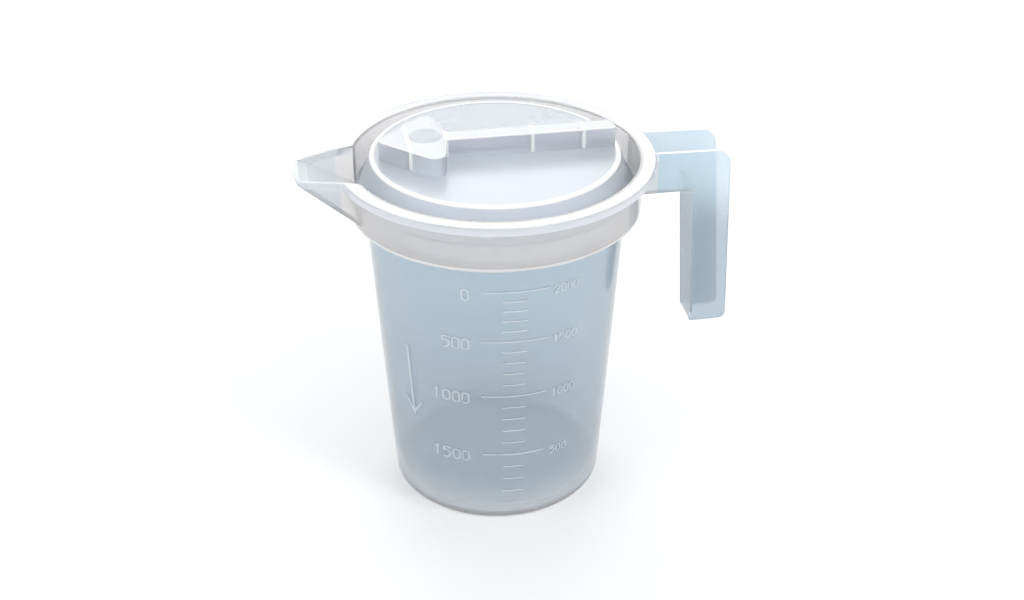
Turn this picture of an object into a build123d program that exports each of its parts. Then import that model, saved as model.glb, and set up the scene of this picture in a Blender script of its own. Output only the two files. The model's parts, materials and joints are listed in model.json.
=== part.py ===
from build123d import *
import math
import os

os.makedirs("parts", exist_ok=True)

# Two-litre graduated jug with a loose lid. Millimetres.
# The origin is the centre of the underside, +Z is up, the handle is on +X, the spout on -X
# and the graduations face -Y.

# Body
base_radius = 61.0
body_slope = 0.064
wall = 2.0
floor_thickness = 2.4
base_fillet = 3.0
gate_radius = 2.6
gate_height = 0.7

# Shoulder ledge, collar and rim
ledge_bottom = 174.0
ledge_top = 176.2
collar_radius = 80.6
collar_inner = 78.6
rim_top = 203.4
rim_radius = 87.9
rim_thickness = 1.8
rim_lip_bottom = 199.2
rim_lip_wall = 1.8
stop_count = 4
stop_width = 2.6
stop_depth = 1.2
stop_bottom = 176.0
stop_top = 195.0

# Spout
spout_tip = 107.6
spout_lip = 110.4
spout_tip_half = 14.8
spout_taper = 0.37
spout_lip_height = 202.0
spout_under_height = 200.4
spout_under_slope = 0.685
spout_lip_edge = 0.6
spout_root = 76.0
spout_space_root = 72.0
spout_space_end = 116.0

# Handle
handle_tip = 129.6
handle_bottom = 91.0
handle_bottom_reach = 135.3
handle_top_half = 15.5
handle_bottom_half = 10.0
handle_drop = 1.0
handle_wall = 2.0
channel_fillet = 5.0
arm_bottom = 178.8
web_top_reach = 109.3
web_bottom_reach = 113.5

# Graduations
mark_height = 0.45
mark_thickness = 0.65
major_angle = 15.5
minor_angle = 5.4
digit_aspect = 0.52
full_mark = 2000
minor_mark = 100
major_mark = 500
mark_centre = -1.2
mark_base = 2.1
mark_rise = 48.0
mark_ease = 2.3
number_drop = 2.1
large_digit = 6.6
large_pitch = 4.9
large_stroke = 0.95
large_right = 25.5
small_digit = 4.6
small_pitch = 3.7
small_stroke = 0.65
small_left = 20.5
arrow_top_x = 56.0
arrow_bottom_x = 53.2
arrow_top = 111.0
arrow_bottom = 65.5
arrow_barb = 9.0
arrow_spread = 3.6

# Lid
lid_clearance = 0.3
lid_top = 205.5
lid_plateau_radius = 68.2
lid_foot_radius = 74.9
lid_lip_radius = 76.6
lid_lip_height = 188.6
lid_wall = 1.7
lid_edge_fillet = 1.4

# Lid grip
grip_top = 217.0
grip_half = 5.75
grip_end = 66.2
grip_wall = 1.8
head_apex = 66.0
head_corner = 31.4
head_half = 34.6
head_neck = 27.0
head_fillet = 6.0
grip_end_fillet = 3.0
grip_edge_fillet = 1.2
rib_thickness = 1.6
bar_ribs = (19.8, 48.2)
head_rib = -48.0
dish_centre = -38.0
dish_radius = 41.6
dish_rise = 40.5


def outer_radius(z):
    return base_radius + body_slope * z


def inner_radius(z):
    return outer_radius(z) - wall


def spout_half(x):
    return spout_tip_half + (spout_tip - x) * spout_taper


def spout_under(x):
    return spout_under_height - (spout_tip - x) * spout_under_slope


def number(text, x, y, size, pitch):
    """Centre lines of plain moulded digits, from the lower left corner."""
    width = size * digit_aspect
    for index, digit in enumerate(text):
        left = x + index * pitch
        right = left + width
        middle = left + width / 2
        top = y + size
        bend = width / 2
        if digit == "0":
            Line((left, y + bend), (left, top - bend))
            ThreePointArc((left, top - bend), (middle, top), (right, top - bend))
            Line((right, top - bend), (right, y + bend))
            ThreePointArc((right, y + bend), (middle, y), (left, y + bend))
        elif digit == "1":
            Polyline((left, top - bend), (middle, top), (middle, y))
        elif digit == "2":
            ThreePointArc((left, top - bend), (middle, top), (right, top - bend))
            Polyline((right, top - bend), (left, y), (right, y))
        elif digit == "5":
            Polyline((right, top), (left, top), (left, y + 2.6 * bend))
            ThreePointArc((left, y + 2.6 * bend), (right, y + 1.3 * bend), (left, y))


def fill_height(volume):
    """Height of the mark for a volume in ml: the marks close up as the body widens."""
    steps = volume / major_mark
    return mark_base + mark_rise * steps - mark_ease * steps**2


# Revolved shell of the jug
with BuildPart() as shell:
    with BuildSketch(Plane.XZ) as shell_profile:
        with BuildLine():
            Polyline(
                (0, 0),
                (base_radius, 0),
                (outer_radius(ledge_bottom), ledge_bottom),
                (collar_radius, ledge_bottom),
                (collar_radius, rim_top - rim_thickness),
                (rim_radius - rim_lip_wall, rim_top - rim_thickness),
                (rim_radius - rim_lip_wall, rim_lip_bottom),
                (rim_radius, rim_lip_bottom),
                (rim_radius, rim_top),
                (collar_inner, rim_top),
                (collar_inner, ledge_top),
                (inner_radius(ledge_top), ledge_top),
                (inner_radius(floor_thickness), floor_thickness),
                (gate_radius, floor_thickness),
                (gate_radius, floor_thickness + gate_height),
                (0, floor_thickness + gate_height),
                close=True,
            )
        make_face()
        rounded = (
            (base_radius, 0, base_fillet),
            (inner_radius(floor_thickness), floor_thickness, base_fillet),
            (collar_radius, ledge_bottom, 1.6),
            (rim_radius, rim_top, 0.8),
            (collar_inner, rim_top, 1.1),
            (inner_radius(ledge_top), ledge_top, 1.0),
        )
        for x, y, radius in rounded:
            corner = shell_profile.vertices().sort_by_distance((x, y, 0))[0]
            fillet(corner, radius)
    revolve(axis=Axis.Z)

# Spout: the tray outside, then the space in it
root_half = spout_half(spout_root)

with BuildPart() as spout_tray:
    with BuildSketch(Plane.XY.offset(ledge_bottom)):
        with BuildLine():
            Line((-spout_root, root_half), (-spout_tip, spout_tip_half))
            ThreePointArc(
                (-spout_tip, spout_tip_half), (-spout_lip, 0), (-spout_tip, -spout_tip_half)
            )
            Line((-spout_tip, -spout_tip_half), (-spout_root, -root_half))
            Line((-spout_root, -root_half), (-spout_root, root_half))
        make_face()
    extrude(amount=rim_top - ledge_bottom)
    with BuildSketch(Plane.XZ):
        with BuildLine():
            Polyline(
                (-spout_root, spout_under(spout_root)),
                (-spout_root, rim_top),
                (-rim_radius, rim_top),
                (-spout_lip, spout_lip_height),
                (-spout_lip, spout_under(spout_lip) - spout_lip_edge),
                close=True,
            )
        make_face()
    extrude(amount=root_half + 5, both=True, mode=Mode.INTERSECT)
    Cylinder(
        collar_inner + 0.5,
        rim_top + 1,
        align=(Align.CENTER, Align.CENTER, Align.MIN),
        mode=Mode.SUBTRACT,
    )

side_wall = wall * math.hypot(1, spout_taper)
floor_wall = wall * math.hypot(1, spout_under_slope)
space_root_half = spout_half(spout_space_root) - side_wall
space_end_half = spout_half(spout_space_end) - side_wall
space_root_floor = spout_under(spout_space_root) + floor_wall
space_end_floor = spout_under(spout_space_end) + floor_wall

with BuildPart() as spout_space:
    with BuildSketch(Plane.XY.offset(ledge_bottom - 10)):
        with BuildLine():
            Polyline(
                (-spout_space_root, space_root_half),
                (-spout_space_end, space_end_half),
                (-spout_space_end, -space_end_half),
                (-spout_space_root, -space_root_half),
                close=True,
            )
        make_face()
    extrude(amount=60)
    with BuildSketch(Plane.XZ):
        with BuildLine():
            Polyline(
                (-spout_space_root, space_root_floor),
                (-spout_space_root, rim_top + 10),
                (-spout_space_end, rim_top + 10),
                (-spout_space_end, space_end_floor),
                close=True,
            )
        make_face()
    extrude(amount=space_root_half + 5, both=True, mode=Mode.INTERSECT)

# Handle: an outward-open channel of two cheeks and a web
handle_root = collar_radius - 0.6
handle_side = rim_top - handle_drop

with BuildPart() as handle:
    with BuildSketch(Plane.XZ) as handle_outline:
        with BuildLine():
            Polyline(
                (handle_root, rim_top),
                (handle_tip - 0.6, handle_side),
                (handle_bottom_reach, handle_bottom),
                (web_bottom_reach, handle_bottom),
                (web_top_reach, arm_bottom),
                (handle_root, arm_bottom),
                close=True,
            )
        make_face()
        rounded = (
            (handle_tip - 0.6, handle_side, 9.0),
            (handle_bottom_reach, handle_bottom, 4.5),
            (web_bottom_reach, handle_bottom, 1.5),
            (web_top_reach, arm_bottom, 2.5),
        )
        for x, y, radius in rounded:
            corner = handle_outline.vertices().sort_by_distance((x, y, 0))[0]
            fillet(corner, radius)
    extrude(amount=30, both=True)
    with BuildSketch(Plane.YZ):
        with BuildLine():
            Polyline(
                (-handle_top_half, rim_top),
                (handle_top_half, rim_top),
                (handle_bottom_half, handle_bottom),
                (-handle_bottom_half, handle_bottom),
                close=True,
            )
        make_face()
    extrude(amount=200, mode=Mode.INTERSECT)

with BuildPart() as channel:
    with BuildSketch(Plane.XZ) as channel_outline:
        with BuildLine():
            Polyline(
                (handle_root - 5, rim_top + 10),
                (handle_bottom_reach + 20, rim_top + 10),
                (handle_bottom_reach + 20, handle_bottom - 10),
                (web_bottom_reach + handle_wall + 0.5, handle_bottom - 10),
                (web_top_reach + handle_wall, arm_bottom + handle_wall),
                (handle_root - 5, arm_bottom + handle_wall),
                close=True,
            )
        make_face()
        corner = channel_outline.vertices().sort_by_distance(
            (web_top_reach + handle_wall, arm_bottom + handle_wall, 0)
        )[0]
        fillet(corner, channel_fillet)
    extrude(amount=30, both=True)
    with BuildSketch(Plane.YZ):
        with BuildLine():
            Polyline(
                (-handle_top_half + handle_wall, rim_top),
                (handle_top_half - handle_wall, rim_top),
                (handle_bottom_half - handle_wall, handle_bottom),
                (-handle_bottom_half + handle_wall, handle_bottom),
                close=True,
            )
        make_face()
    extrude(amount=200, mode=Mode.INTERSECT)

# Raised graduations, cut from a thin band that follows the tapered wall
band_low = 5.0
band_high = fill_height(full_mark) + 8

with BuildPart() as marks:
    with BuildSketch(Plane.XZ):
        with BuildLine():
            Polyline(
                (outer_radius(band_low) - 0.6, band_low),
                (outer_radius(band_low) + mark_height, band_low),
                (outer_radius(band_high) + mark_height, band_high),
                (outer_radius(band_high) - 0.6, band_high),
                close=True,
            )
        make_face()
    revolve(axis=Axis.Z)
    with BuildSketch(Plane.XZ):
        for volume in range(minor_mark, full_mark + minor_mark, minor_mark):
            height = fill_height(volume)
            angle = math.radians(minor_angle if volume % major_mark else major_angle)
            with Locations((mark_centre, height)):
                Rectangle(2 * outer_radius(height) * math.sin(angle), mark_thickness)
        with BuildLine():
            for volume in range(0, full_mark, major_mark):
                left_text = str(volume)
                left_x = -large_right - large_digit * digit_aspect
                left_x -= (len(left_text) - 1) * large_pitch
                left_y = fill_height(full_mark - volume) - large_digit / 2 - number_drop
                number(left_text, left_x, left_y, large_digit, large_pitch)
            Line((-arrow_top_x, arrow_top), (-arrow_bottom_x, arrow_bottom))
            Polyline(
                (-arrow_bottom_x - arrow_spread, arrow_bottom + arrow_barb),
                (-arrow_bottom_x, arrow_bottom),
                (-arrow_bottom_x + arrow_spread, arrow_bottom + arrow_barb),
            )
        trace(line_width=large_stroke)
        with BuildLine():
            for volume in range(major_mark, full_mark + major_mark, major_mark):
                right_y = fill_height(volume) - small_digit / 2 - number_drop
                number(str(volume), small_left, right_y, small_digit, small_pitch)
        trace(line_width=small_stroke)
    extrude(amount=120, mode=Mode.INTERSECT)

# Whole jug
stop_ring = collar_inner + stop_depth / 2 - stop_depth

with BuildPart() as jug:
    add(shell.part)
    add(spout_tray.part)
    add(spout_space.part, mode=Mode.SUBTRACT)
    add(handle.part - channel.part)
    with BuildSketch(Plane.XY.offset(stop_bottom)):
        with PolarLocations(stop_ring, stop_count, start_angle=45):
            Rectangle(stop_depth + 0.8, stop_width)
    extrude(amount=stop_top - stop_bottom)
    add(marks.part)

jug.part.label = "jug"
export_step(jug.part, "parts/jug.step")

# Lid: revolved tray that drops into the collar
lid_foot = ledge_top + lid_clearance
lid_floor = lid_top - lid_wall

with BuildPart() as lid_tray:
    with BuildSketch(Plane.XZ) as lid_profile:
        with BuildLine():
            Polyline(
                (0, lid_top),
                (lid_plateau_radius, lid_top),
                (lid_foot_radius, lid_lip_height),
                (lid_lip_radius, lid_lip_height),
                (lid_lip_radius, lid_foot),
                (lid_lip_radius - lid_wall, lid_foot),
                (lid_lip_radius - lid_wall, lid_lip_height - lid_wall),
                (lid_foot_radius - lid_wall, lid_lip_height - lid_wall),
                (lid_plateau_radius - lid_wall, lid_floor),
                (0, lid_floor),
                close=True,
            )
        make_face()
        rounded = (
            (lid_plateau_radius, lid_top, lid_edge_fillet),
            (lid_lip_radius, lid_lip_height, 0.5),
            (lid_plateau_radius - lid_wall, lid_floor, 1.0),
        )
        for x, y, radius in rounded:
            corner = lid_profile.vertices().sort_by_distance((x, y, 0))[0]
            fillet(corner, radius)
    revolve(axis=Axis.Z)


def grip_outline():
    """Pointer seen from above: a bar that ends in a broad arrowhead."""
    with BuildSketch(Plane.XY.offset(lid_top - lid_wall)) as outline:
        with BuildLine():
            Polyline(
                (grip_end, grip_half),
                (-head_neck, grip_half),
                (-head_corner, head_half),
                (-head_apex, 0),
                (-head_corner, -head_half),
                (-head_neck, -grip_half),
                (grip_end, -grip_half),
                close=True,
            )
        make_face()
        rounded = (
            (-head_corner, head_half, head_fillet),
            (-head_corner, -head_half, head_fillet),
            (-head_apex, 0, head_fillet),
            (grip_end, grip_half, grip_end_fillet),
            (grip_end, -grip_half, grip_end_fillet),
        )
        for x, y, radius in rounded:
            corner = outline.vertices().sort_by_distance((x, y, 0))[0]
            fillet(corner, radius)
    return outline.sketch


grip_plan = grip_outline()

with BuildPart() as grip_block:
    add(grip_plan)
    extrude(amount=grip_top - lid_floor)
    top_edges = grip_block.faces().sort_by(Axis.Z)[-1].edges()
    fillet(top_edges, grip_edge_fillet)
    with Locations((dish_centre, 0, grip_top + dish_rise)):
        Sphere(dish_radius, mode=Mode.SUBTRACT)

with BuildPart() as grip_space:
    with BuildSketch(Plane.XY.offset(lid_floor - 5)):
        add(offset(grip_plan.moved(Location((0, 0, -lid_floor))), -grip_wall))
    extrude(amount=grip_top - grip_wall - lid_floor + 5)

with BuildPart() as grip_ribs:
    with BuildSketch(Plane.XY.offset(lid_floor)):
        for x in bar_ribs + (head_rib, -head_neck):
            with Locations((x, 0)):
                Rectangle(rib_thickness, 2 * head_half)
        add(grip_plan.moved(Location((0, 0, -lid_floor))), mode=Mode.INTERSECT)
    extrude(amount=grip_top - grip_wall - lid_floor + 0.2)

# Whole lid
with BuildPart() as lid:
    add(lid_tray.part)
    add(grip_block.part)
    add(grip_space.part, mode=Mode.SUBTRACT)
    add(grip_ribs.part)

lid.part.label = "lid"
export_step(lid.part, "parts/lid.step")
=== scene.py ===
import json
import math

import bpy
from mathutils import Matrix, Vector

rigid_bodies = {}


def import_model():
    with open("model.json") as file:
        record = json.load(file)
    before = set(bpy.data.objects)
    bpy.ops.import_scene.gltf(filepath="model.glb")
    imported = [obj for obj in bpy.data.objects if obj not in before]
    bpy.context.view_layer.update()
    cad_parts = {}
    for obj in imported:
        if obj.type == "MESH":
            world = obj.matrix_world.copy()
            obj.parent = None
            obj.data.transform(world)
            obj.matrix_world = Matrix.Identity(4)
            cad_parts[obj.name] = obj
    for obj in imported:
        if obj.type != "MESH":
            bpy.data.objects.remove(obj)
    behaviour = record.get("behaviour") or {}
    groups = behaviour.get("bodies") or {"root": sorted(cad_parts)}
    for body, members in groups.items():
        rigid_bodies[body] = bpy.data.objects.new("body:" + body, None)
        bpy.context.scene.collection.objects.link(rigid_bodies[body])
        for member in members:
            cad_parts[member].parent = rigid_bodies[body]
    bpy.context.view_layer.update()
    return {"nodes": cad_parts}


for thing in list(bpy.data.objects):
    bpy.data.objects.remove(thing)

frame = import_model()

scene = bpy.context.scene
scene.view_settings.view_transform = "Standard"
scene.view_settings.look = "None"
scene.cycles.transparent_max_bounces = 48
scene.cycles.max_bounces = 24
scene.cycles.transmission_bounces = 24
scene.cycles.diffuse_bounces = 6
scene.cycles.caustics_refractive = True

jug = frame["nodes"]["jug"]
lid = frame["nodes"]["lid"]


class Graph:
    """A small helper that adds nodes to one material and links them."""

    def __init__(self, name):
        self.material = bpy.data.materials.new(name)
        self.material.use_nodes = True
        self.tree = self.material.node_tree
        self.tree.nodes.clear()
        self.output = self.tree.nodes.new("ShaderNodeOutputMaterial")
        self.shader = self.tree.nodes.new("ShaderNodeBsdfPrincipled")
        self.tree.links.new(self.shader.outputs[0], self.output.inputs["Surface"])

    def add(self, kind, *sources, **settings):
        node = self.tree.nodes.new(kind)
        for key, value in settings.items():
            setattr(node, key, value)
        for index, source in enumerate(sources):
            self.plug(source, node.inputs[index])
        return node

    def plug(self, source, socket):
        if source is None:
            return
        if isinstance(source, bpy.types.NodeSocket):
            self.tree.links.new(source, socket)
        else:
            socket.default_value = source

    def math(self, operation, a, b=None, c=None):
        return self.add("ShaderNodeMath", a, b, c, operation=operation).outputs[0]

    def step(self, value, low, high):
        """0 below low, 1 above high and smooth between; reversed when low is above high."""
        node = self.add("ShaderNodeMapRange", interpolation_type="SMOOTHSTEP")
        self.plug(value, node.inputs["Value"])
        flip = low > high
        node.inputs["From Min"].default_value = high if flip else low
        node.inputs["From Max"].default_value = low if flip else high
        node.inputs["To Min"].default_value = 1.0 if flip else 0.0
        node.inputs["To Max"].default_value = 0.0 if flip else 1.0
        return node.outputs[0]

    def band(self, value, centre, half, soft):
        away = self.math("ABSOLUTE", self.math("SUBTRACT", value, centre))
        return self.step(away, half + soft, half)

    def mix(self, factor, a, b):
        node = self.add("ShaderNodeMix", data_type="RGBA")
        self.plug(factor, node.inputs["Factor"])
        self.plug(a, node.inputs[6])
        self.plug(b, node.inputs[7])
        return node.outputs[2]

    def blend(self, factor, a, b):
        node = self.add("ShaderNodeMix", data_type="FLOAT")
        self.plug(factor, node.inputs["Factor"])
        self.plug(a, node.inputs[2])
        self.plug(b, node.inputs[3])
        return node.outputs[0]

    def position(self):
        spot = self.add("ShaderNodeTexCoord").outputs["Object"]
        split = self.add("ShaderNodeSeparateXYZ", spot)
        x, y, z = split.outputs
        square = self.math("ADD", self.math("MULTIPLY", x, x), self.math("MULTIPLY", y, y))
        radius = self.math("SQRT", square)
        return spot, x, y, z, radius

    def normal_up(self):
        geometry = self.add("ShaderNodeNewGeometry")
        return self.add("ShaderNodeSeparateXYZ", geometry.outputs["True Normal"]).outputs["Z"]

    def noise(self, spot, scale, detail, stretch=(1, 1, 1)):
        mapped = self.add("ShaderNodeMapping", spot)
        mapped.inputs["Scale"].default_value = stretch
        node = self.add("ShaderNodeTexNoise")
        self.plug(mapped.outputs[0], node.inputs["Vector"])
        node.inputs["Scale"].default_value = scale
        node.inputs["Detail"].default_value = detail
        return node.outputs["Fac"]


def rgb(red, green, blue):
    """Linear colour from 0 to 255 values."""
    out = []
    for value in (red, green, blue):
        value /= 255
        out.append(value / 12.92 if value <= 0.04045 else ((value + 0.055) / 1.055) ** 2.4)
    return (*out, 1.0)


def finish_plastic(g, colour, roughness, transmission, fine, flow):
    s = g.shader
    g.plug(colour, s.inputs["Base Color"])
    g.plug(roughness, s.inputs["Roughness"])
    g.plug(transmission, s.inputs["Transmission Weight"])
    s.inputs["IOR"].default_value = 1.49
    bump = g.add("ShaderNodeBump")
    bump.inputs["Strength"].default_value = 0.12
    bump.inputs["Distance"].default_value = 0.0004
    g.plug(g.math("ADD", g.math("MULTIPLY", fine, 0.35), flow), bump.inputs["Height"])
    g.plug(bump.outputs[0], s.inputs["Normal"])
    depth = g.add("ShaderNodeVolumeAbsorption")
    depth.inputs["Color"].default_value = (0.62, 0.70, 0.75, 1)
    depth.inputs["Density"].default_value = 24.0
    g.tree.links.new(depth.outputs[0], g.output.inputs["Volume"])
    return g.material


def jug_material():
    g = Graph("jug_plastic")
    spot, x, y, z, radius = g.position()
    nz = g.normal_up()
    flow = g.noise(spot, 9.0, 3.0, (1, 1, 0.35))
    fine = g.noise(spot, 900.0, 2.0)
    level = g.math("ABSOLUTE", nz)
    collar = g.step(z, 0.1735, 0.1745)
    flange = g.math("MULTIPLY", g.step(radius, 0.0806, 0.0812), g.step(z, 0.1985, 0.1990))
    wall_radius = g.math("MULTIPLY_ADD", z, 0.064, 0.061)
    proud = g.math("SUBTRACT", radius, wall_radius)
    marks = g.math("MULTIPLY", g.step(proud, 0.0001, 0.0003), g.step(z, 0.1725, 0.171))
    marks = g.math("MULTIPLY", marks, g.step(proud, 0.004, 0.002))
    ledge = g.band(z, 0.1751, 0.0011, 0.0004)
    # Painted light: the jug's inner floor faces are painted white and almost opaque so they
    # show as a lit disc through the walls.
    painted_lit_floor_disc = g.math("MULTIPLY", g.step(z, 0.0042, 0.0032), g.step(level, 0.5, 0.8))
    handle = g.step(x, 0.0880, 0.0886)
    # Painted highlight: upward-facing faces at the top of the handle are painted white as
    # bright edge lines.
    painted_edge_highlight = g.math("MULTIPLY", g.step(nz, 0.4, 0.8), g.step(z, 0.186, 0.190))
    painted_edge_highlight = g.math("MULTIPLY", painted_edge_highlight, handle)
    body = g.mix(g.step(z, 0.02, 0.16), rgb(212, 223, 231), rgb(214, 227, 235))
    body = g.mix(g.math("MULTIPLY", flow, 0.5), body, rgb(224, 232, 238))
    # Painted light: the wall is painted whiter towards the base to cancel the shade beneath the
    # jug.
    painted_light_low_wall = g.math("MULTIPLY", g.step(z, 0.034, 0.002), 0.7)
    body = g.mix(painted_light_low_wall, body, rgb(250, 251, 251))
    colour = g.mix(collar, body, rgb(253, 251, 250))
    colour = g.mix(flange, colour, rgb(244, 246, 251))
    spout = g.step(x, -0.0850, -0.0870)
    colour = g.mix(spout, colour, rgb(236, 239, 243))
    # Painted shade and light: the handle is darker low down and lighter towards its top.
    handle_painted_shading = g.mix(g.step(z, 0.150, 0.186), rgb(196, 210, 219), rgb(228, 242, 250))
    colour = g.mix(handle, colour, handle_painted_shading)
    colour = g.mix(painted_lit_floor_disc, colour, rgb(255, 255, 255))
    colour = g.mix(g.math("MULTIPLY", marks, 0.55), colour, rgb(250, 252, 255))
    colour = g.mix(painted_edge_highlight, colour, rgb(255, 255, 255))
    rough = g.blend(flow, 0.12, 0.18)
    trans = g.blend(painted_light_low_wall, 0.88, 0.62)
    trans = g.blend(collar, trans, 0.7)
    trans = g.blend(ledge, trans, 0.4)
    trans = g.blend(flange, trans, 0.5)
    trans = g.blend(handle, trans, 0.7)
    trans = g.blend(painted_lit_floor_disc, trans, 0.06)
    trans = g.blend(marks, trans, 0.64)
    trans = g.blend(painted_edge_highlight, trans, 0.2)
    return finish_plastic(g, colour, rough, trans, fine, flow)


def lid_material():
    g = Graph("lid_plastic")
    spot, x, y, z, radius = g.position()
    nz = g.normal_up()
    flow = g.noise(spot, 9.0, 3.0)
    fine = g.noise(spot, 900.0, 2.0)
    colour = g.mix(flow, rgb(243, 247, 253), rgb(248, 250, 254))
    above = g.step(z, 0.2056, 0.206)
    # Painted highlights: rib lines, sloped top edges and a ring on the lid are painted white.
    rib_highlights = g.band(x, 0.0198, 0.0007, 0.0004)
    for place in (0.0482, -0.048, -0.027):
        rib_highlights = g.math("MAXIMUM", rib_highlights, g.band(x, place, 0.0007, 0.0004))
    rib_highlights = g.math("MULTIPLY", rib_highlights, above)
    slope = g.band(nz, 0.6, 0.3, 0.08)
    edge_highlights = g.math("MULTIPLY", slope, g.step(z, 0.2148, 0.2154))
    ring_highlight = g.math("MULTIPLY", g.band(radius, 0.0673, 0.0011, 0.0005), g.step(z, 0.2040, 0.2046))
    ring_highlight = g.math("MULTIPLY", ring_highlight, g.step(z, 0.2058, 0.2056))
    painted_highlights = g.math("MAXIMUM", g.math("MAXIMUM", rib_highlights, edge_highlights), ring_highlight)
    # Painted light: upward-facing top faces of the lid, outside the dish, are painted whiter.
    painted_top_light = g.math("MULTIPLY", g.step(nz, 0.9, 0.98), g.step(z, 0.2152, 0.2156))
    dish = g.math("MULTIPLY", g.step(z, 0.2169, 0.2168), painted_top_light)
    painted_top_light = g.math("SUBTRACT", painted_top_light, dish)
    colour = g.mix(painted_top_light, colour, rgb(252, 253, 255))
    colour = g.mix(painted_highlights, colour, rgb(255, 255, 255))
    rough = g.blend(flow, 0.24, 0.32)
    trans = g.blend(painted_top_light, 0.7, 0.58)
    trans = g.blend(painted_highlights, trans, 0.15)
    return finish_plastic(g, colour, rough, trans, fine, flow)


jug.data.materials.clear()
jug.data.materials.append(jug_material())
lid.data.materials.clear()
lid.data.materials.append(lid_material())

# Floor
bpy.ops.mesh.primitive_plane_add(size=12, location=(0, 0, -0.0006))
floor = bpy.context.object
floor.name = "floor"
floor_graph = Graph("floor_paint")
floor_graph.shader.inputs["Base Color"].default_value = (0.95, 0.95, 0.952, 1)
floor_graph.shader.inputs["Roughness"].default_value = 0.9
floor.data.materials.append(floor_graph.material)

# Camera
eye = Vector((-0.1174, -0.7247, 0.5469))
ahead = Vector((0.1481, 0.8469, -0.5109))
camera = bpy.data.objects.new("camera", bpy.data.cameras.new("camera"))
scene.collection.objects.link(camera)
camera.location = eye
camera.rotation_euler = ahead.to_track_quat("-Z", "Y").to_euler()
camera.data.sensor_width = 36.0
camera.data.lens = 52.0
camera.data.clip_start = 0.01
scene.camera = camera

# Light
world = bpy.data.worlds.new("studio")
scene.world = world
world.use_nodes = True
world.node_tree.nodes["Background"].inputs["Color"].default_value = (0.98, 0.985, 1.0, 1)
world.node_tree.nodes["Background"].inputs["Strength"].default_value = 0.84


def area(name, place, target, size, power):
    lamp = bpy.data.objects.new(name, bpy.data.lights.new(name, "AREA"))
    scene.collection.objects.link(lamp)
    lamp.location = place
    lamp.rotation_euler = (Vector(target) - Vector(place)).to_track_quat("-Z", "Y").to_euler()
    lamp.data.shape = "RECTANGLE"
    lamp.data.size, lamp.data.size_y = size
    lamp.data.energy = power
    return lamp


area("key", (0.9, -0.9, 1.2), (0, 0, 0.1), (0.5, 0.9), 7)
area("fill", (-1.1, -0.5, 0.9), (0, 0, 0.1), (0.8, 0.8), 3.5)
area("back", (0.1, 1.3, 1.1), (0, 0, 0.12), (1.4, 0.7), 8)
